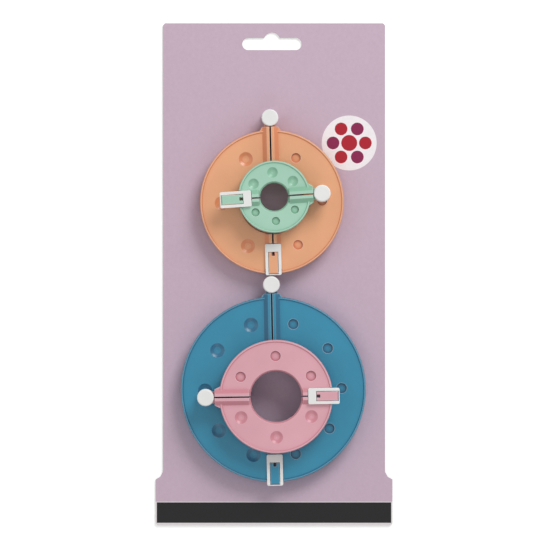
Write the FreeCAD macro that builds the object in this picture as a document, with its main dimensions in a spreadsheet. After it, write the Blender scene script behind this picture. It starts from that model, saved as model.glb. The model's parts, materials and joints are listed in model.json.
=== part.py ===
"""Set of four pom pom makers laid out on their hang card, in millimetres.

Every maker is a flat ring split along one diameter. Each half ring is an arm made of a
front plate and a back plate with a slit between them for scissors and tying yarn. Both
arms swing open about a hinge post outside the rim. A flip clip on the right arm bridges
the far end of the split. Each maker is drawn with its hinge up (+Y) and its front
towards +Z, then turned and placed on the card. The card lies flat, its back at Z = 0.
"""

import FreeCAD, Part
import os
import Sketcher
from FreeCAD import Placement, Rotation, Vector

document = FreeCAD.newDocument("PomPomMakers")

# Driving dimensions

sheet = document.addObject("Spreadsheet::Sheet", "Sizes")

CARD_SIZES = [
    ("cardWidth", 108.4, "width of the card above its foot"),
    ("footWidth", 115.6, "width of the card's foot"),
    ("cardHeight", 245, "height of the card"),
    ("cardThick", 0.8, "thickness of the board"),
    ("cardCorner", 1.0, "cut corners of the card"),
    ("shoulderLow", 22.4, "bottom of the shoulders above the card's foot"),
    ("shoulderHigh", 26.2, "top of the shoulders above the card's foot"),
    ("slotWidth", 29, "hang slot, end to end"),
    ("slotHeight", 5.9, "hang slot height"),
    ("slotDrop", 10.1, "slot centre below the card's top edge"),
    ("slotBumpRadius", 4, "radius of the slot's raised middle"),
    ("slotBumpRise", 1.55, "centre of the raised middle above the slot's centre"),
    ("slotShift", -1, "slot centre beside the card's centre line"),
]

FRAME_SIZES = [
    ("plateInner", 0.8, "inner face of a plate above the maker's middle plane"),
    ("plateOuter", 3.3, "outer face of a plate above the middle plane"),
    ("rootSink", 1.2, "how far ears and tails reach in from the rim"),
    ("holeEdge", 0.7, "eased edge at the hole"),
    ("lipHeight", 0.4, "raised bead along the rim"),
    ("lipWidth", 1.0, "width of that bead"),
    ("splitHalf", 0.4, "half of the gap between the two arms"),
    ("ridgeTop", 4.9, "top of the ridges beside the split"),
    ("ridgeCrest", 1.8, "outer edge of a ridge's flat crest"),
    ("ridgeSpread", 3.9, "outer foot of a ridge's slope"),
    ("ridgeRoot", 2.3, "depth to which ridges and tongues are rooted in the plate"),
    ("earSpread", 5.6, "half width of the ear where it leaves the rim"),
    ("neckHalf", 2.8, "half width of the neck beside the hinge"),
    ("neckOverlap", 0.5, "how far the neck reaches back into the ear"),
    ("knuckleRadius", 3.2, "radius of a hinge knuckle"),
    ("outerKnuckleLow", 1.75, "underside of the outer knuckle"),
    ("outerKnuckleTop", 3.3, "top of the outer knuckle"),
    ("innerKnuckleLow", 0.1, "underside of the inner knuckle"),
    ("innerKnuckleTop", 1.6, "top of the inner knuckle"),
    ("hingeClear", 4.4, "reach of ears and ridges from the hinge axis"),
    ("postRadius", 1.5, "radius of the hinge post"),
    ("postPlay", 0.05, "radial play of a knuckle on the post"),
    ("shaftRoot", 0.1, "depth of the post's shaft in its foot disc"),
    ("capRadius", 4.1, "radius of the cap and of the foot disc"),
    ("capUnder", 3.45, "underside of the cap"),
    ("capBevel", 0.45, "bevel of the cap's edge"),
    ("clipLength", 15.2, "length of the clip"),
    ("clipHalf", 3.9, "half width of the clip"),
    ("clipUnder", 3.5, "underside of the clip"),
    ("clipPad", 3.9, "length of the clip's thumb pad"),
    ("clipBar", 0.4, "thickness of the bar at the clip's outer end"),
    ("clipGap", 0.25, "gap between clip and tongue"),
    ("clipCorner", 0.5, "cut corners of the clip"),
    ("pivotInset", 1.25, "clip pivot inside the clip's outer end"),
    ("pivotHeight", 4.2, "clip pivot above the middle plane"),
    ("pivotEye", 0.7, "radius of the eye on the tongue's end"),
    ("pinRadius", 0.35, "radius of the clip's pin"),
    ("pinPlay", 0.05, "radial play of the clip on its pin"),
    ("pinFit", 0.01, "radial play of the pin in the tongue"),
    ("tongueHalf", 2.2, "half width of the tongue in the clip's window"),
    ("tongueUnder", 3.6, "underside of the tongue over the other arm"),
    ("catchHole", 1.7, "side of the square catch hole in the tongue"),
    ("seatFloor", 2.6, "floor of the clip's seat in the rim"),
    ("swingClear", 1.9, "space round the clip's pivot"),
    ("dimpleDepth", 0.95, "depth of the round dishes"),
    ("recessDepth", 0.9, "depth of the flat recesses"),
    ("overcut", 1, "how far a cut starts outside the face that it opens"),
    ("stackGap", 0.4, "gap between a lower maker's ridges and an upper maker"),
    ("restGap", 0.3, "gap between an arm's ridges and the card"),
]

# name, outer radius, hole radius, hinge axis from the centre, clip past the rim, centre on
# the card, turn, dish radius, recess radius, dimple circle, first dimple from the split, dimples
MAKER_ROWS = [
    ("blue", 45.0, 20.5, 51.0, 1.8, -0.3, -56.0, 1.1, 3.55, 2.5, 33.2, 18, 5),
    ("orange", 35.0, 15.0, 41.0, 0.6, -1.0, 35.2, 1.4, 3.45, 2.35, 24.4, 30, 3),
    ("pink", 27.5, 12.4, 34.2, 3.3, 1.0, -59.3, 90.8, 3.1, 2.5, 19.7, 30, 3),
    ("mint", 17.5, 6.8, 23.3, 8.8, 0.1, 37.6, -86.0, 2.6, 2.0, 11.8, 36, 3),
]
MAKER_FIELDS = [
    "OuterRadius", "HoleRadius", "HingeReach", "ClipOverhang", "CentreX", "CentreY", "Turn",
    "DishRadius", "RecessRadius", "DimpleCircle", "FirstDimple", "DimpleCount",
]
UPPER_MAKERS = ("pink", "mint")

row = 1
for alias, value, note in CARD_SIZES + FRAME_SIZES:
    sheet.set("A%d" % row, note)
    sheet.set("B%d" % row, str(value))
    sheet.setAlias("B%d" % row, alias)
    row += 1
for maker_row in MAKER_ROWS:
    for field, value in zip(MAKER_FIELDS, maker_row[1:]):
        sheet.set("A%d" % row, "%s maker, %s" % (maker_row[0], field))
        sheet.set("B%d" % row, str(value))
        sheet.setAlias("B%d" % row, maker_row[0] + field)
        row += 1
document.recompute()


# Formulas on the sheet

def formula(text, maker=""):
    """Turn plain names into sheet names: @Name is the maker's own size, $name a shared one."""
    return text.replace("@", "Sizes." + maker).replace("$", "Sizes.")


def number(text):
    """The value of a formula at the sheet's present sizes."""
    return float(sheet.evalExpression(text))


# Sketches and features

def own_datum(body, role):
    """One of the body's own origin planes or axes, by its role, such as XY_Plane or Z_Axis."""
    for feature in body.Origin.OriginFeatures:
        if feature.Role == role:
            return feature
    raise ValueError("no datum " + role)


def new_sketch(body, name, role, offset="0"):
    """A sketch on one of the body's own planes, moved along that plane's normal."""
    sketch = body.newObject("Sketcher::SketchObject", name)
    sketch.AttachmentSupport = (own_datum(body, role), [""])
    sketch.MapMode = "FlatFace"
    sketch.setExpression("AttachmentOffset.Base.z", offset)
    return sketch


def fix_distance(sketch, direction, index, position, text):
    constraint = Sketcher.Constraint(direction, -1, 1, index, position, number(text))
    place = sketch.addConstraint(constraint)
    sketch.setExpression("Constraints[%d]" % place, text)


def draw_outline(sketch, corners):
    """A closed outline of straight edges; each corner is a pair of formulas."""
    points = [Vector(number(across), number(up), 0) for across, up in corners]
    count = len(points)
    for index in range(count):
        sketch.addGeometry(Part.LineSegment(points[index], points[(index + 1) % count]))
    for index in range(count):
        sketch.addConstraint(
            Sketcher.Constraint("Coincident", index, 2, (index + 1) % count, 1))
    for index, (across, up) in enumerate(corners):
        fix_distance(sketch, "DistanceX", index, 1, across)
        fix_distance(sketch, "DistanceY", index, 1, up)


def draw_circle(sketch, across, up, radius):
    centre = Vector(number(across), number(up), 0)
    index = sketch.addGeometry(Part.Circle(centre, Vector(0, 0, 1), number(radius)))
    place = sketch.addConstraint(Sketcher.Constraint("Radius", index, number(radius)))
    sketch.setExpression("Constraints[%d]" % place, radius)
    fix_distance(sketch, "DistanceX", index, 3, across)
    fix_distance(sketch, "DistanceY", index, 3, up)


def add_pad(body, name, sketch, length):
    pad = body.newObject("PartDesign::Pad", name)
    pad.Profile = sketch
    pad.setExpression("Length", length)
    sketch.Visibility = False
    return pad


def add_pocket(body, name, sketch, length):
    pocket = body.newObject("PartDesign::Pocket", name)
    pocket.Profile = sketch
    pocket.setExpression("Length", length)
    return pocket


def block(body, name, corners, low, high):
    """An outline in the XY plane, padded from low to high."""
    sketch = new_sketch(body, name + "Outline", "XY_Plane", low)
    draw_outline(sketch, corners)
    return add_pad(body, name, sketch, "(%s) - (%s)" % (high, low))


def disc(body, name, across, up, radius, low, high):
    sketch = new_sketch(body, name + "Circle", "XY_Plane", low)
    draw_circle(sketch, across, up, radius)
    return add_pad(body, name, sketch, "(%s) - (%s)" % (high, low))


def cut_block(body, name, corners, low, high):
    """An outline in the XY plane, pocketed from high down to low."""
    sketch = new_sketch(body, name + "Outline", "XY_Plane", high)
    draw_outline(sketch, corners)
    return add_pocket(body, name, sketch, "(%s) - (%s)" % (high, low))


def cut_disc(body, name, across, up, radius, low, high):
    sketch = new_sketch(body, name + "Circle", "XY_Plane", high)
    draw_circle(sketch, across, up, radius)
    return add_pocket(body, name, sketch, "(%s) - (%s)" % (high, low))


def bar_along_split(body, name, section, near, far):
    """A section in the XZ plane, padded along Y from near (the lower Y) to far."""
    sketch = new_sketch(body, name + "Section", "XZ_Plane", "-(%s)" % far)
    draw_outline(sketch, section)
    return add_pad(body, name, sketch, "(%s) - (%s)" % (far, near))


def rod_across(body, name, along, up, radius, half_length):
    """A round bar along X, centred on the split."""
    sketch = new_sketch(body, name + "Circle", "YZ_Plane", "-(%s)" % half_length)
    draw_circle(sketch, along, up, radius)
    return add_pad(body, name, sketch, "2 * (%s)" % half_length)


def bore_across(body, name, along, up, radius, half_length):
    sketch = new_sketch(body, name + "Circle", "YZ_Plane", half_length)
    draw_circle(sketch, along, up, radius)
    return add_pocket(body, name, sketch, "2 * (%s)" % half_length)


def rectangle(left, right, bottom, top):
    return [(left, bottom), (right, bottom), (right, top), (left, top)]


def new_body(label):
    body = document.addObject("PartDesign::Body", "Body_" + label)
    body.Label = label
    return body


def maker_level(maker):
    """Height of a maker's middle plane above the card's back."""
    lower = "$cardThick + $ridgeTop + $restGap"
    if maker in UPPER_MAKERS:
        return formula(lower + " + 2 * $ridgeTop + $stackGap")
    return formula(lower)


def place_on_card(body, maker, turned_over=False):
    turn = number(formula("@Turn", maker))
    rotation = Rotation(Vector(0, 0, 1), turn)
    if turned_over:
        rotation = rotation.multiply(Rotation(Vector(0, 1, 0), 180))
    body.Placement = Placement(Vector(0, 0, 0), rotation)
    body.setExpression("Placement.Base.x", formula("@CentreX", maker))
    body.setExpression("Placement.Base.y", formula("@CentreY", maker))
    body.setExpression("Placement.Base.z", maker_level(maker))


# Distances from a maker's centre that several pieces share

CLIP_OUTER = "(@OuterRadius + @ClipOverhang)"
CLIP_INNER = "(@OuterRadius + @ClipOverhang - $clipLength)"
PIVOT = "(@OuterRadius + @ClipOverhang - $pivotInset)"
WINDOW_INNER = "(@OuterRadius + @ClipOverhang - $clipLength + $clipPad)"
EAR_END = "(@HingeReach - $hingeClear)"
DISH_FOLD = 0.6


# The arms' plates

def half_ring(body, maker, side):
    """The plate's section turned through half a circle, with a raised bead along the rim."""
    size = lambda text: formula(text, maker)
    hole, rim = size("@HoleRadius"), size("@OuterRadius")
    section = [
        (hole, size("$plateInner")),
        (rim, size("$plateInner")),
        (rim, size("$plateOuter")),
        (rim + " - " + size("0.3 * $lipWidth"), size("$plateOuter + $lipHeight")),
        (rim + " - " + size("0.8 * $lipWidth"), size("$plateOuter + $lipHeight")),
        (rim + " - " + size("1.2 * $lipWidth"), size("$plateOuter")),
        (hole + " + " + size("$holeEdge"), size("$plateOuter")),
        (hole, size("$plateOuter - $holeEdge")),
    ]
    sketch = new_sketch(body, "RingSection", "YZ_Plane")
    draw_outline(sketch, section)
    ring = body.newObject("PartDesign::Revolution", "HalfRing")
    ring.Profile = sketch
    ring.ReferenceAxis = (own_datum(body, "Z_Axis"), [""])
    ring.Angle = 180
    document.recompute()
    if ring.Shape.CenterOfMass.x * side < 0:
        ring.Reversed = True


def round_dish(body, maker, across, up):
    """A shallow round dish, turned about its own upright axis."""
    size = lambda text: formula(text, maker)
    sketch = new_sketch(body, "DishSection", "YZ_Plane", across)
    fold_depth = "%s * $dimpleDepth" % (1 - DISH_FOLD ** 2)
    draw_outline(sketch, [
        (up, size("$plateOuter + $overcut")),
        (up, size("$plateOuter - $dimpleDepth")),
        (up + " + " + size("%s * @DishRadius" % DISH_FOLD), size("$plateOuter - " + fold_depth)),
        (up + " + " + size("@DishRadius"), size("$plateOuter")),
        (up + " + " + size("@DishRadius"), size("$plateOuter + $overcut")),
    ])
    dish = body.newObject("PartDesign::Groove", "Dish")
    dish.Profile = sketch
    dish.ReferenceAxis = (sketch, ["Edge1"])
    dish.Angle = 360
    return dish


def arm_plate(label, maker, side, front):
    """One plate of an arm. side is +1 for the right arm's design, -1 for the left's."""
    size = lambda text: formula(text, maker)
    sideways = lambda text: size("%d * (%s)" % (side, text))
    body = new_body(label)
    half_ring(body, maker, side)

    cut_block(body, "SplitTrim",
              rectangle(sideways("-$overcut"), sideways("$splitHalf"),
                        size("-@OuterRadius - $overcut"), size("@OuterRadius + $overcut")),
              "0", size("$ridgeTop"))
    if front:
        seat_start = size("min(@OuterRadius - 1.5 * $lipWidth; %s - $swingClear)" % PIVOT)
        cut_block(body, "ClipSeat",
                  rectangle(sideways("0"), sideways("$clipHalf + $clipGap"),
                            size("-@OuterRadius - $overcut"), "-(%s)" % seat_start),
                  size("$seatFloor"), size("$ridgeTop"))

    # dishes in the left design, flat recesses in the right one
    first_angle = "(90 + @FirstDimple) * 1 deg" if side < 0 else "(@FirstDimple - 90) * 1 deg"
    across = size("@DimpleCircle * cos(%s)" % first_angle)
    up = size("@DimpleCircle * sin(%s)" % first_angle)
    if side < 0:
        dimple = round_dish(body, maker, across, up)
    else:
        dimple = cut_disc(body, "Recess", across, up, size("@RecessRadius"),
                          size("$plateOuter - $recessDepth"), size("$plateOuter + $overcut"))
    pattern = body.newObject("PartDesign::PolarPattern", "DimpleRow")
    pattern.Originals = [dimple]
    pattern.Axis = (own_datum(body, "Z_Axis"), [""])
    pattern.setExpression("Angle", size("180 - 2 * @FirstDimple"))
    pattern.setExpression("Occurrences", size("@DimpleCount"))
    body.Tip = pattern

    # ridges beside the split
    ridge = [(sideways("$splitHalf"), size("$ridgeRoot")),
             (sideways("$ridgeSpread"), size("$ridgeRoot")),
             (sideways("$ridgeSpread"), size("$plateOuter")),
             (sideways("$ridgeCrest"), size("$ridgeTop")),
             (sideways("$splitHalf"), size("$ridgeTop"))]
    bar_along_split(body, "HingeRidge", ridge,
                    size("@HoleRadius + $holeEdge"), size(EAR_END))
    ridge_end = "%s - $clipGap" % CLIP_INNER if front else "@OuterRadius - $lipWidth"
    bar_along_split(body, "ClipRidge", ridge,
                    "-(%s)" % size(ridge_end), "-(%s)" % size("@HoleRadius + $holeEdge"))

    # ear beyond the rim, its neck and the knuckle on the hinge post
    ear_low = size("$plateInner") if side < 0 else size("$innerKnuckleLow")
    knuckle_low, knuckle_top = [
        size(text) for text in (("$outerKnuckleLow", "$outerKnuckleTop") if side < 0
                                else ("$innerKnuckleLow", "$innerKnuckleTop"))]
    ear = [(sideways("$splitHalf"), size("@OuterRadius - $rootSink")),
           (sideways("$earSpread"), size("@OuterRadius - $rootSink")),
           (sideways("$ridgeSpread"), size(EAR_END)),
           (sideways("$splitHalf"), size(EAR_END))]
    block(body, "Ear", ear, ear_low, size("$plateOuter"))
    block(body, "Neck",
          rectangle(sideways("$splitHalf"), sideways("$neckHalf"),
                    size("%s - $neckOverlap" % EAR_END), size("@HingeReach")),
          knuckle_low, knuckle_top)
    disc(body, "Knuckle", "0", size("@HingeReach"), size("$knuckleRadius"),
         knuckle_low, knuckle_top)
    cut_disc(body, "PostBore", "0", size("@HingeReach"), size("$postRadius + $postPlay"),
             "0", size("$ridgeTop"))

    # tail beyond the rim where the clip overhangs it
    tail_end = size("%s - $swingClear" % PIVOT)
    if number(tail_end) > number(size("@OuterRadius")):
        block(body, "Tail",
              rectangle(sideways("$splitHalf"), sideways("$tongueHalf"),
                        "-(%s)" % tail_end, size("$rootSink - @OuterRadius")),
              size("$plateInner"), size("$plateOuter"))
    if front and side > 0:
        add_tongue(body, maker, tail_end)
    place_on_card(body, maker, turned_over=not front)


def add_tongue(body, maker, tail_end):
    """The tongue seen in the clip's window: it carries the clip's pin and bridges the split."""
    size = lambda text: formula(text, maker)
    inner_end = "-(%s + $clipGap)" % WINDOW_INNER
    block(body, "TongueRoot",
          rectangle(size("$splitHalf"), size("$tongueHalf"), "-(%s)" % tail_end, size(inner_end)),
          size("$ridgeRoot"), size("$ridgeTop"))
    block(body, "TonguePlate",
          rectangle(size("-$tongueHalf"), size("$tongueHalf"),
                    size("-%s" % PIVOT), size(inner_end)),
          size("$tongueUnder"), size("$ridgeTop"))
    rod_across(body, "TongueEye", size("-%s" % PIVOT), size("$pivotHeight"),
               size("$pivotEye"), size("$tongueHalf"))
    bore_across(body, "TongueBore", size("-%s" % PIVOT), size("$pivotHeight"),
                size("$pinRadius + $pinFit"), size("$clipHalf + $overcut"))
    cut_block(body, "CatchHole",
              rectangle(size("-0.5 * $catchHole"), size("0.5 * $catchHole"),
                        size(inner_end + " - $catchHole"), size(inner_end + " + $overcut")),
              size("$plateOuter"), size("$ridgeTop + $overcut"))


# Hinge post, cap, clip and pin

def hinge_post(label, maker):
    """The post with its foot disc, which stands on the card or on the lower maker's face."""
    size = lambda text: formula(text, maker)
    foot = "$ridgeTop + $restGap"
    if maker in UPPER_MAKERS:
        foot = "2 * $ridgeTop + $stackGap - $plateOuter"
    body = new_body(label)
    disc(body, "FootDisc", "0", size("@HingeReach"), size("$capRadius"),
         "-(%s)" % size(foot), size("-$capUnder"))
    disc(body, "Shaft", "0", size("@HingeReach"), size("$postRadius"),
         size("-$capUnder - $shaftRoot"), size("$capUnder"))
    place_on_card(body, maker)


def hinge_cap(label, maker):
    """A turned disc with a bevelled edge on top of the post."""
    size = lambda text: formula(text, maker)
    body = new_body(label)
    middle = size("@HingeReach")
    sketch = new_sketch(body, "CapSection", "YZ_Plane")
    draw_outline(sketch, [
        (middle, size("$capUnder")),
        (middle + " + " + size("$capRadius"), size("$capUnder")),
        (middle + " + " + size("$capRadius"), size("$ridgeTop - $capBevel")),
        (middle + " + " + size("$capRadius - $capBevel"), size("$ridgeTop")),
        (middle, size("$ridgeTop")),
    ])
    cap = body.newObject("PartDesign::Revolution", "Cap")
    cap.Profile = sketch
    cap.ReferenceAxis = (sketch, ["Edge5"])
    cap.Angle = 360
    place_on_card(body, maker)


def flip_clip(label, maker):
    """A frame with a thumb pad at its inner end and a thin bar at its outer end."""
    size = lambda text: formula(text, maker)
    body = new_body(label)
    outer, inner = size("-%s" % CLIP_OUTER), size("-%s" % CLIP_INNER)
    half, cut = size("$clipHalf"), size("$clipCorner")
    outline = [
        ("-" + half, outer + " + " + cut), ("-" + half + " + " + cut, outer),
        (half + " - " + cut, outer), (half, outer + " + " + cut),
        (half, inner + " - " + cut), (half + " - " + cut, inner),
        ("-" + half + " + " + cut, inner), ("-" + half, inner + " - " + cut),
    ]
    block(body, "Frame", outline, size("$clipUnder"), size("$ridgeTop"))
    cut_block(body, "Window",
              rectangle(size("-$tongueHalf - $clipGap"), size("$tongueHalf + $clipGap"),
                        outer + " + " + size("$clipBar"), size("-%s" % WINDOW_INNER)),
              "0", size("$ridgeTop + $overcut"))
    bore_across(body, "PinBore", size("-%s" % PIVOT), size("$pivotHeight"),
                size("$pinRadius + $pinPlay"), size("$clipHalf + $overcut"))
    place_on_card(body, maker)


def clip_pin(label, maker):
    size = lambda text: formula(text, maker)
    body = new_body(label)
    rod_across(body, "Pin", size("-%s" % PIVOT), size("$pivotHeight"),
               size("$pinRadius"), size("$clipHalf"))
    place_on_card(body, maker)


# The card

def hang_card(label):
    body = new_body(label)
    wide, slim = formula("0.5 * $footWidth"), formula("0.5 * $cardWidth")
    top, corner = formula("0.5 * $cardHeight"), formula("$cardCorner")
    low, high = formula("$shoulderLow"), formula("$shoulderHigh")
    right = [
        (wide + " - " + corner, "-(%s)" % top),
        (wide, "-(%s) + %s" % (top, corner)),
        (wide, "-(%s) + %s" % (top, low)),
        ("0.35 * (%s) + 0.65 * (%s)" % (wide, slim),
         "-(%s) + %s + 0.35 * (%s - %s)" % (top, low, high, low)),
        (slim, "-(%s) + %s" % (top, high)),
        (slim, "%s - %s" % (top, corner)),
        (slim + " - " + corner, top),
    ]
    left = [("-(%s)" % across, up) for across, up in reversed(right)]
    block(body, "Board", right + left, "0", formula("$cardThick"))

    middle = formula("$slotShift")
    height = formula("0.5 * $cardHeight - $slotDrop")
    end = formula("0.5 * $slotHeight")
    reach = formula("0.5 * $slotWidth - 0.5 * $slotHeight")
    low_cut, high_cut = formula("-$overcut"), formula("$cardThick + $overcut")
    cut_block(body, "SlotMiddle",
              rectangle("%s - (%s)" % (middle, reach), "%s + %s" % (middle, reach),
                        "%s - %s" % (height, end), "%s + %s" % (height, end)),
              low_cut, high_cut)
    cut_disc(body, "SlotLeftEnd", "%s - (%s)" % (middle, reach), height, end, low_cut, high_cut)
    cut_disc(body, "SlotRightEnd", "%s + %s" % (middle, reach), height, end, low_cut, high_cut)
    cut_disc(body, "SlotBump", middle, height + " + " + formula("$slotBumpRise"),
             formula("$slotBumpRadius"), low_cut, high_cut)


hang_card("hang_card")
for maker_row in MAKER_ROWS:
    maker = maker_row[0]
    arm_plate(maker + "_front_left_plate", maker, -1, True)
    arm_plate(maker + "_front_right_plate", maker, 1, True)
    arm_plate(maker + "_back_left_plate", maker, 1, False)
    arm_plate(maker + "_back_right_plate", maker, -1, False)
    hinge_post(maker + "_hinge_post", maker)
    hinge_cap(maker + "_hinge_cap", maker)
    flip_clip(maker + "_clip", maker)
    clip_pin(maker + "_clip_pin", maker)

document.recompute()

# Check every object, then write one file for each piece

for item in document.Objects:
    if "Invalid" in item.State or "Error" in item.State:
        raise RuntimeError("%s (%s) is %s" % (item.Name, item.Label, item.State))

pieces = [item for item in document.Objects if item.TypeId == "PartDesign::Body"]
for piece in pieces:
    if piece.Shape.isNull() or not piece.Shape.isValid() or len(piece.Shape.Solids) != 1:
        raise RuntimeError("%s has a bad shape" % piece.Label)

os.makedirs("parts", exist_ok=True)
for piece in pieces:
    piece.Shape.exportStep("parts/%s.step" % piece.Label)
    print("%-26s %9.2f mm3" % (piece.Label, piece.Shape.Volume))
print(len(pieces), "pieces")
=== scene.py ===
# Four pom pom makers laid out on their hang card
# Lengths are metres unless a name ends in Mm, and colours are sRGB hex

import json
import math

import bmesh
import bpy
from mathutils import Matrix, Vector

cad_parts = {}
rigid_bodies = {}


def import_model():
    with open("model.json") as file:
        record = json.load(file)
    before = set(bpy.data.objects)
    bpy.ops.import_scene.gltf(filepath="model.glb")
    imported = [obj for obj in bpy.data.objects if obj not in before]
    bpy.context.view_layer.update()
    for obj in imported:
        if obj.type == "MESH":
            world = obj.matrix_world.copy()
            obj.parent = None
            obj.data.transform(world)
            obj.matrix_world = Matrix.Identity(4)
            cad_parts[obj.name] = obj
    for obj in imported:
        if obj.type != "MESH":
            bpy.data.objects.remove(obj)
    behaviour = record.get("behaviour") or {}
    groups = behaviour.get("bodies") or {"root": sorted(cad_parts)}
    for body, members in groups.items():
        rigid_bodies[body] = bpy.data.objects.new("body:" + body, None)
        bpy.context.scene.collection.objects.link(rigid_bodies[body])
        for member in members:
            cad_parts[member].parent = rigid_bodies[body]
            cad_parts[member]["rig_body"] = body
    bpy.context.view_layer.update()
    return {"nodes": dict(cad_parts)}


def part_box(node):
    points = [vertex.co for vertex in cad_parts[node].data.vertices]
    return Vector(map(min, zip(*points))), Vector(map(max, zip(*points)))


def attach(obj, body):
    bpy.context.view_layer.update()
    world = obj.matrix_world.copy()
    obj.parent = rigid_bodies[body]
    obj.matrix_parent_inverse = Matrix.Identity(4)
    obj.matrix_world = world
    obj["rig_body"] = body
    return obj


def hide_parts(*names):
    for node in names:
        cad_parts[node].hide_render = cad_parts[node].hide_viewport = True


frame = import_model()
mm = 0.001
makers = ("blue", "orange", "pink", "mint")
print("frame loaded,", len(frame["nodes"]), "nodes")


# Colours and nodes

white = [1.0] * 4
noiseMiddle = 0.5
noiseSpan = {"From Min": 0.3, "From Max": 0.7}      # nearly all of a noise lies between these
mixShare, mixFirst, mixSecond, mixColour = 0, 6, 7, 2   # a Mix node's colour sockets, then its output


def linearColour(hexText):
    channels = [int(hexText[i:i + 2], 16) / 255 for i in (0, 2, 4)]
    return [c / 12.92 if c <= 0.04045 else ((c + 0.055) / 1.055) ** 2.4 for c in channels] + [1.0]


def addNode(tree, kind, settings=None, output=0):
    # a setting is a property or a socket, and a socket takes a fixed value or another node's output
    node = tree.nodes.new("ShaderNode" + kind)
    for name, value in (settings or {}).items():
        if isinstance(value, bpy.types.NodeSocket):
            tree.links.new(value, node.inputs[name])
        elif isinstance(name, int) or name in node.inputs:
            node.inputs[name].default_value = value
        else:
            setattr(node, name, value)
    return node.outputs[output] if node.outputs else None


def newMaterial(name):
    material = bpy.data.materials.new(name)
    material.use_nodes = True
    material.node_tree.nodes.clear()
    return material, material.node_tree


# Plastics

mouldedAbs = {
    "colours": {"blue": "2A86A6", "orange": "E7A77D", "pink": "DBA3AE", "mint": "A3CDB7"},
    "ior": 1.54,
    "roughness": (0.28, 0.38),
    "tintSpread": 0.05,     # how much lighter and darker the flow marks are
    "flowMm": 22,           # cloudy flow marks of the melt
    "glossPatches": 3,      # patches of gloss across one flow mark
    "sparkMm": 0.5,         # spark-eroded mould grain, 0.2 mm in truth and drawn coarser to show
    "sparkDepthMm": 0.012,
    "waveMm": 14,           # slow sink waves that break up the reflections
    "waveDepthMm": 0.04,
    "edgeMm": 0.25,         # radius of the moulded edges
    "edgeRays": 6,
    "cornerMm": 2.6,        # how far the painted shade in corners reaches
    "cornerFull": 0.4,      # share of the surroundings shut off where that painted shade is full
    "cornerTint": 0.85,     # share of the painted shade there
    "slopeShadeDegrees": (4, 14, 45, 70),    # leaning faces, which get painted shade
    "slopeShadeTint": 0.6,       # share of the painted shade there
    "scuffMm": 0.35,        # how far the painted highlight on outer edges reaches
    "scuffFull": 0.5,       # share of the piece's inside shut off where the painted edge highlight is palest
    "scuffTint": 0.35,      # share of white painted highlight there
    "nearbyRays": 8,
}

# moulded polypropylene is milky and a little waxy, and its edges get a stronger painted highlight
mouldedPolypropylene = dict(mouldedAbs, colour="E9E9E7", ior=1.49, roughness=(0.3, 0.38),
                            tintSpread=0.02, flowMm=6, waveMm=4, waveDepthMm=0.02,
                            cornerTint=0.9, slopeShadeTint=0, scuffTint=0.7)

drawnSteel = {
    "colour": "A8A9AB",
    "roughness": 0.3,
    "markMm": 0.05,         # fine marks of the drawing die
    "markDepthMm": 0.004,
}


def slopeShadeTint(tree, recipe):
    # painted shade on leaning faces: full between the two middle angles, and nothing on faces flatter or
    # steeper than the outer ones
    flat, flatter, steeper, steep = [math.cos(math.radians(angle)) for angle in recipe["slopeShadeDegrees"]]
    normal = addNode(tree, "NewGeometry", output="Normal")
    upward = addNode(tree, "SeparateXYZ", {"Vector": normal}, "Z")
    level = addNode(tree, "Math", {"operation": "ABSOLUTE", 0: upward})
    leaning = addNode(tree, "MapRange", {
        "From Min": flat, "From Max": flatter, "To Max": recipe["slopeShadeTint"], "Value": level})
    gentle = addNode(tree, "MapRange", {"From Min": steep, "From Max": steeper, "Value": level})
    return addNode(tree, "Math", {"operation": "MULTIPLY", 0: leaning, 1: gentle})


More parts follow.
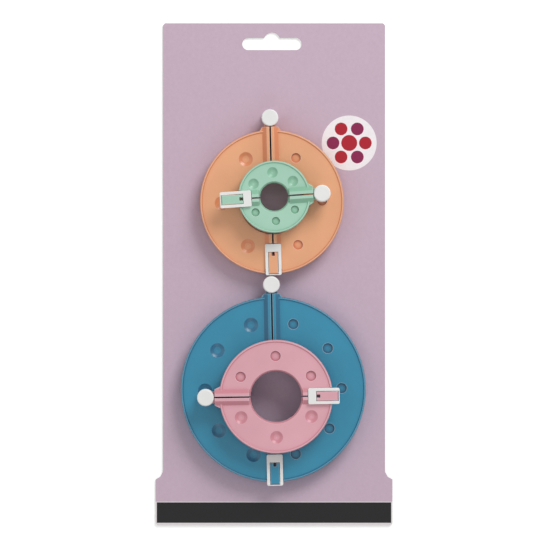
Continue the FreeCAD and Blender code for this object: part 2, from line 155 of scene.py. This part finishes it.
def mouldedMaterial(name, hexText, recipe):
    # out of a spark-eroded mould: a satin face with soft, slightly cloudy reflections
    material, tree = newMaterial(name)
    place = addNode(tree, "TexCoord", output="Object")      # metres, in the rest frame
    noise = {}
    for key, sizeMm, detail in (("flow", recipe["flowMm"], 3.0),
                                ("gloss", recipe["flowMm"] / recipe["glossPatches"], 2.0),
                                ("wave", recipe["waveMm"], 0.0), ("spark", recipe["sparkMm"], 2.0)):
        noise[key] = addNode(tree, "TexNoise", {
            "Scale": 1 / (sizeMm * mm), "Detail": detail, "Vector": place}, "Fac")

    base = linearColour(hexText)
    darker = [c * (1 - recipe["tintSpread"]) for c in base[:3]] + [1.0]
    lighter = [min(1.0, c * (1 + recipe["tintSpread"])) for c in base[:3]] + [1.0]
    shadedColour = [c * c for c in base]       # painted shade colour: the base colour squared, darker and more saturated
    tint = {"flow": addNode(tree, "MapRange", {**noiseSpan, "Value": noise["flow"]})}
    for key, inside in (("corner", False), ("scuff", True)):
        # how open it is all round: outside the piece this finds corners for painted shade, inside it the
        # outer edges for painted highlight
        openness = addNode(tree, "AmbientOcclusion", {
            "samples": recipe["nearbyRays"], "inside": inside, "only_local": True,
            "Distance": recipe[key + "Mm"] * mm}, "AO")
        tint[key] = addNode(tree, "MapRange", {
            "From Min": 1.0, "From Max": 1 - recipe[key + "Full"], "To Max": recipe[key + "Tint"],
            "Value": openness})
    # painted shade in corners or on leaning faces, whichever is stronger
    tint["corner"] = addNode(tree, "Math", {
        "operation": "MAXIMUM", 0: tint["corner"], 1: slopeShadeTint(tree, recipe)})
    colour = darker
    # the random flow tone, then painted shade, then white painted highlight
    for key, over in (("flow", lighter), ("corner", shadedColour), ("scuff", white)):
        colour = addNode(tree, "Mix", {
            "data_type": "RGBA", mixShare: tint[key], mixFirst: colour, mixSecond: over}, mixColour)

    shiny, dull = recipe["roughness"]
    roughness = addNode(tree, "MapRange", {
        **noiseSpan, "To Min": shiny, "To Max": dull, "Value": noise["gloss"]})
    # a moulded edge is never knife sharp, so the normals turn over its radius
    normal = addNode(tree, "Bevel", {"samples": recipe["edgeRays"], "Radius": recipe["edgeMm"] * mm})
    for key in ("wave", "spark"):
        normal = addNode(tree, "Bump", {
            "Strength": 1.0, "Distance": recipe[key + "DepthMm"] * mm,
            "Height": noise[key], "Normal": normal})
    shader = addNode(tree, "BsdfPrincipled", {
        "IOR": recipe["ior"], "Base Color": colour, "Roughness": roughness, "Normal": normal})
    addNode(tree, "OutputMaterial", {"Surface": shader})
    return material


def drawnSteelMaterial(recipe):
    # steel wire pulled through a die: grey, with fine marks that blur the highlight
    material, tree = newMaterial("drawnSteelWire")
    place = addNode(tree, "TexCoord", output="Object")
    marks = addNode(tree, "TexNoise", {
        "Scale": 1 / (recipe["markMm"] * mm), "Detail": 2.0, "Vector": place}, "Fac")
    normal = addNode(tree, "Bump", {
        "Strength": 1.0, "Distance": recipe["markDepthMm"] * mm, "Height": marks})
    shader = addNode(tree, "BsdfPrincipled", {
        "Base Color": linearColour(recipe["colour"]), "Metallic": 1.0,
        "Roughness": recipe["roughness"], "Normal": normal})
    addNode(tree, "OutputMaterial", {"Surface": shader})
    return material


plastics = {maker: mouldedMaterial(maker + "MouldedAbs", mouldedAbs["colours"][maker], mouldedAbs)
            for maker in makers}
whitePlastic = mouldedMaterial("whiteMouldedPolypropylene", mouldedPolypropylene["colour"],
                               mouldedPolypropylene)
steel = drawnSteelMaterial(drawnSteel)
print("plastics and steel ready")


# The card's printed board

cardPrint = {
    "field": "CAB2C3",
    "band": "1C1B1D",
    "margin": "E6DFE2",
    "rawBoard": "CFCBC4",
    "disc": "F7F1F4",
    "dots": ("B02231", "8A2450"),
    "bandMm": (1.2, 11.2),          # bottom and top of the band above the card's foot edge
    "bandInsetMm": 0.6,             # pale margin at the band's ends
    "bandLineMm": 0.35,             # pale line along the band's top
    "discCentreMm": (36.7, 64.1),
    "discRadiusMm": 13.4,
    "dotCount": 6,
    "dotRingMm": 7.9,               # radius of the ring of dots
    "dotRadiusMm": 3.1,
    "middleDotMm": 3.9,
    "inkEdgeMm": 0.12,              # softness of a printed edge
    "woolMm": 0.4,                  # how ragged the dots' edges are
    "fibreMm": 1.4,                 # cloudiness of the pulp under the ink
    "fleckMm": 0.45,                # screen grain, 0.15 mm in truth and drawn coarser to show
    "shade": 0.05,                  # how much the cloud darkens the ink, and the grain half as much
    "toothDepthMm": 0.01,
    "glossMm": 5.0,                 # patches in the varnish
    "roughness": (0.42, 0.55),
    "ior": 1.5,
    "specular": 0.25,               # the varnish is thin and half soaked in
    "printedFacing": 0.5,           # faces that look up more than this are printed
}


def printedBoardMaterial(settings):
    # offset-printed folding boxboard under a thin varnish: flat inks, a faint pulp cloud, pale cut edges
    material, tree = newMaterial("printedBoxboard")
    place = addNode(tree, "TexCoord", output="Object")      # metres, in the rest frame
    noise = {}
    for key, sizeMm, detail in (("wool", settings["woolMm"], 4.0), ("fibre", settings["fibreMm"], 5.0),
                                ("fleck", settings["fleckMm"], 1.0), ("tooth", settings["fleckMm"], 3.0),
                                ("gloss", settings["glossMm"], 2.0)):
        noise[key] = addNode(tree, "TexNoise", {
            "Scale": 1 / (sizeMm * mm), "Detail": detail, "Vector": place}, "Fac")
    for key, least, most in (("fibre", 1 - settings["shade"], 1.0),
                             ("fleck", 1 - settings["shade"] / 2, 1.0), ("gloss", *settings["roughness"])):
        noise[key] = addNode(tree, "MapRange", {
            **noiseSpan, "To Min": least, "To Max": most, "Value": noise[key]})

    low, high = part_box("hang_card")
    bandLow, bandHigh = [low.y + value * mm for value in settings["bandMm"]]
    centreX, centreY = [value * mm for value in settings["discCentreMm"]]
    step = 2 * math.pi / settings["dotCount"]
    sums = (        # each row is a name, what is done, and to which numbers or earlier names
        ("fromBand", "SUBTRACT", "up", (bandLow + bandHigh) / 2),
        ("overBand", "ABSOLUTE", "fromBand"),
        ("pastBand", "SUBTRACT", "overBand", (bandHigh - bandLow) / 2),
        ("sideways", "ABSOLUTE", "across"),
        ("pastBandEnd", "SUBTRACT", "sideways", high.x - settings["bandInsetMm"] * mm),
        ("band", "MAXIMUM", "pastBand", "pastBandEnd"),
        ("margin", "SUBTRACT", "up", bandHigh + settings["bandLineMm"] * mm),
        ("discX", "SUBTRACT", "across", centreX),
        ("discY", "SUBTRACT", "up", centreY),
        ("discXX", "POWER", "discX", 2.0),
        ("discYY", "POWER", "discY", 2.0),
        ("discSum", "ADD", "discXX", "discYY"),
        ("reach", "SQRT", "discSum"),       # distance to the disc's middle
        ("disc", "SUBTRACT", "reach", settings["discRadiusMm"] * mm),
        ("angle", "ARCTAN2", "discY", "discX"),
        ("turns", "DIVIDE", "angle", step),
        ("dotNumber", "ROUND", "turns"),
        ("second", "PINGPONG", "dotNumber", 1.0),       # 1 on every second dot
        ("dotAngle", "MULTIPLY", "dotNumber", step),
        ("off", "SUBTRACT", "angle", "dotAngle"),
        ("cosine", "COSINE", "off"),
        ("sine", "SINE", "off"),
        ("outward", "MULTIPLY", "reach", "cosine"),
        ("along", "SUBTRACT", "outward", settings["dotRingMm"] * mm),
        ("aside", "MULTIPLY", "reach", "sine"),
        ("alongSquare", "POWER", "along", 2.0),
        ("asideSquare", "POWER", "aside", 2.0),
        ("awaySquare", "ADD", "alongSquare", "asideSquare"),
        ("away", "SQRT", "awaySquare"),     # distance to the nearest dot's middle
        ("dot", "SUBTRACT", "away", settings["dotRadiusMm"] * mm),
        ("evenWool", "SUBTRACT", "wool", noiseMiddle),
        ("ragged", "MULTIPLY", "evenWool", settings["woolMm"] * mm),
        ("ring", "ADD", "dot", "ragged"),
        ("middleDot", "SUBTRACT", "reach", settings["middleDotMm"] * mm),
        ("middle", "ADD", "middleDot", "ragged"),
    )
    known = {"across": addNode(tree, "SeparateXYZ", {"Vector": place}, "X"),
             "up": addNode(tree, "SeparateXYZ", {"Vector": place}, "Y"), "wool": noise["wool"]}
    for name, operation, *terms in sums:
        known[name] = addNode(tree, "Math", {
            "operation": operation, **{i: known.get(term, term) for i, term in enumerate(terms)}})

    inks = {key: linearColour(settings[key]) for key in ("field", "band", "margin", "disc", "rawBoard")}
    red, purple = [linearColour(text) for text in settings["dots"]]
    inks["ring"] = addNode(tree, "Mix", {
        "data_type": "RGBA", mixShare: known["second"], mixFirst: red, mixSecond: purple}, mixColour)
    inks["middle"] = red
    edge = settings["inkEdgeMm"] * mm
    colour = inks["field"]
    for key in ("margin", "band", "disc", "ring", "middle"):
        # an ink prints where its distance is below zero, over the inks before it
        mask = addNode(tree, "MapRange", {"From Min": edge / 2, "From Max": -edge / 2, "Value": known[key]})
        colour = addNode(tree, "Mix", {
            "data_type": "RGBA", mixShare: mask, mixFirst: colour, mixSecond: inks[key]}, mixColour)

    normal = addNode(tree, "NewGeometry", output="True Normal")
    upward = addNode(tree, "SeparateXYZ", {"Vector": normal}, "Z")
    printed = addNode(tree, "Math", {
        "operation": "GREATER_THAN", 0: upward, 1: settings["printedFacing"]})
    colour = addNode(tree, "Mix", {
        "data_type": "RGBA", mixShare: printed, mixFirst: inks["rawBoard"], mixSecond: colour}, mixColour)
    shade = addNode(tree, "Math", {"operation": "MULTIPLY", 0: noise["fibre"], 1: noise["fleck"]})
    grey = addNode(tree, "CombineColor", {"Red": shade, "Green": shade, "Blue": shade})
    colour = addNode(tree, "Mix", {
        "data_type": "RGBA", "blend_type": "MULTIPLY", mixShare: 1.0,
        mixFirst: colour, mixSecond: grey}, mixColour)
    tooth = addNode(tree, "Bump", {
        "Strength": 1.0, "Distance": settings["toothDepthMm"] * mm, "Height": noise["tooth"]})
    shader = addNode(tree, "BsdfPrincipled", {
        "IOR": settings["ior"], "Specular IOR Level": settings["specular"],
        "Base Color": colour, "Roughness": noise["gloss"], "Normal": tooth})
    addNode(tree, "OutputMaterial", {"Surface": shader})
    return material


board = printedBoardMaterial(cardPrint)
print("board ready")


# Pieces with eased edges

easedEdge = {
    "radiusMm": {           # 0 leaves the edge to the material's soft edges
        "plate": 0,
        "hinge_post": 0.12,
        "hinge_cap": 0.14,
        "clip": 0.12,
        "clip_pin": 0.05,
    },
    "sharpDegrees": 20,     # folds sharper than this are edges
    "flatDegrees": 0.4,     # facets flatter than this to each other are one face
    "joinMm": 0.001,        # split corners closer than this are one
    "segments": 2,
    "profile": 0.5,         # round
    "faceWeight": 80,       # how much large faces lead the even shading
}


def joinedMesh(mesh):
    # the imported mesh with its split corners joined
    work = bmesh.new()
    work.from_mesh(mesh)
    bmesh.ops.remove_doubles(work, verts=work.verts, dist=easedEdge["joinMm"] * mm)
    return work


def sharpEdges(work):
    limit = math.radians(easedEdge["sharpDegrees"])
    return [edge for edge in work.edges
            if len(edge.link_faces) == 2 and edge.calc_face_angle() > limit]


def easeEdges(work, radiusMm):
    bmesh.ops.dissolve_limit(work, angle_limit=math.radians(easedEdge["flatDegrees"]),
                             verts=work.verts, edges=work.edges)
    bmesh.ops.bevel(work, geom=sharpEdges(work), offset=radiusMm * mm, offset_type="OFFSET",
                    segments=easedEdge["segments"], profile=easedEdge["profile"], affect="EDGES",
                    clamp_overlap=False)


def dressNode(node, kind, material):
    source = frame["nodes"][node]
    work = joinedMesh(source.data)
    radiusMm = easedEdge["radiusMm"][kind]
    if radiusMm:
        easeEdges(work, radiusMm)
    else:
        for edge in sharpEdges(work):
            edge.smooth = False
    mesh = bpy.data.meshes.new(node)
    work.to_mesh(mesh)
    work.free()
    mesh.polygons.foreach_set("use_smooth", [True] * len(mesh.polygons))
    mesh.materials.clear()
    mesh.materials.append(material)
    words = node.split("_")
    piece = bpy.data.objects.new(words[0] + "".join(word.title() for word in words[1:]), mesh)
    bpy.context.scene.collection.objects.link(piece)
    if radiusMm:
        piece.modifiers.new("evenShading", "WEIGHTED_NORMAL").weight = easedEdge["faceWeight"]
    body = source["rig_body"]
    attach(piece, body)
    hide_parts(node)


for maker in makers:
    for plate in ("front_left_plate", "front_right_plate", "back_left_plate", "back_right_plate"):
        dressNode(maker + "_" + plate, "plate", plastics[maker])
    for kind in ("hinge_post", "hinge_cap", "clip"):
        dressNode(maker + "_" + kind, kind, whitePlastic)
    dressNode(maker + "_clip_pin", "clip_pin", steel)
    print(maker, "maker dressed")

frame["nodes"]["hang_card"].material_slots[0].material = board
print("card printed")


# Floor, lights and camera

studio = {
    "floorColour": "F2F2F2",
    "floorSizeMm": 6000,
    "floorDropMm": 0.3,             # gap under the card
    "floorLift": 0.32,              # keeps the floor white to the camera, its shadows included
    "worldStrength": 0.47,
    "lensMm": 360,
    "sensorMm": 36,
    "frameWidthMm": 267.6,          # what the photo's width spans at the makers' faces
    "faceHeightMm": 9,
    "aimMm": (0.49, -0.34),
    "lights": {
        "key": {"placeMm": (600, 1000, 980), "sizeMm": 700, "watts": 13.2},
        "low": {"placeMm": (100, -1000, 1000), "sizeMm": 700, "watts": 1.6},
        "fill": {"placeMm": (-900, 100, 1000), "sizeMm": 900, "watts": 1.5},
    },
}


def seenDirectly(tree):
    # 1 for what the camera, a reflection or a clear piece shows, and 0 for the light that falls on things
    seen = addNode(tree, "LightPath", output="Is Camera Ray")
    rays = seen.node.outputs
    for ray in ("Is Glossy Ray", "Is Transmission Ray"):
        seen = addNode(tree, "Math", {"operation": "MAXIMUM", 0: seen, 1: rays[ray]})
    return seen


def makeFloor(settings):
    bpy.ops.mesh.primitive_plane_add(size=settings["floorSizeMm"] * mm,
                                     location=(0, 0, -settings["floorDropMm"] * mm))
    floor = bpy.context.object
    floor.name = "studioFloor"
    material, tree = newMaterial("paintedFloor")
    matt = addNode(tree, "BsdfDiffuse", {"Color": linearColour(settings["floorColour"])})
    strength = addNode(tree, "Math", {
        "operation": "MULTIPLY", 0: seenDirectly(tree), 1: settings["floorLift"]})
    lift = addNode(tree, "Emission", {"Strength": strength})
    addNode(tree, "OutputMaterial", {"Surface": addNode(tree, "AddShader", {0: matt, 1: lift})})
    floor.data.materials.append(material)


def lightWorld(settings):
    world = bpy.data.worlds.new("softStudio")
    bpy.context.scene.world = world
    world.use_nodes = True
    tree = world.node_tree
    tree.nodes.clear()
    strength = addNode(tree, "MapRange", {
        "To Min": settings["worldStrength"], "To Max": 1.0, "Value": seenDirectly(tree)})
    sky = addNode(tree, "Background", {"Color": white, "Strength": strength})
    addNode(tree, "OutputWorld", {"Surface": sky})


def aimAtCard(thing):
    thing.rotation_mode = "QUATERNION"
    thing.rotation_quaternion = (-thing.location).to_track_quat("-Z", "Y")


def placeLights(settings):
    for name, lamp in settings["lights"].items():
        data = bpy.data.lights.new(name + "Light", "AREA")
        data.size = lamp["sizeMm"] * mm
        data.energy = lamp["watts"]
        light = bpy.data.objects.new(name + "Light", data)
        light.location = Vector(lamp["placeMm"]) * mm
        bpy.context.scene.collection.objects.link(light)
        aimAtCard(light)


def placeCamera(settings):
    # straight above the card and looking down, as the photo does
    data = bpy.data.cameras.new("photoCamera")
    data.lens = settings["lensMm"]
    data.sensor_width = settings["sensorMm"]
    camera = bpy.data.objects.new("photoCamera", data)
    away = settings["frameWidthMm"] * settings["lensMm"] / settings["sensorMm"]
    aimX, aimY = settings["aimMm"]
    camera.location = Vector((aimX, aimY, settings["faceHeightMm"] + away)) * mm
    bpy.context.scene.collection.objects.link(camera)
    bpy.context.scene.camera = camera


makeFloor(studio)
lightWorld(studio)
placeLights(studio)
placeCamera(studio)
bpy.context.scene.view_settings.view_transform = "Standard"
print("studio ready")
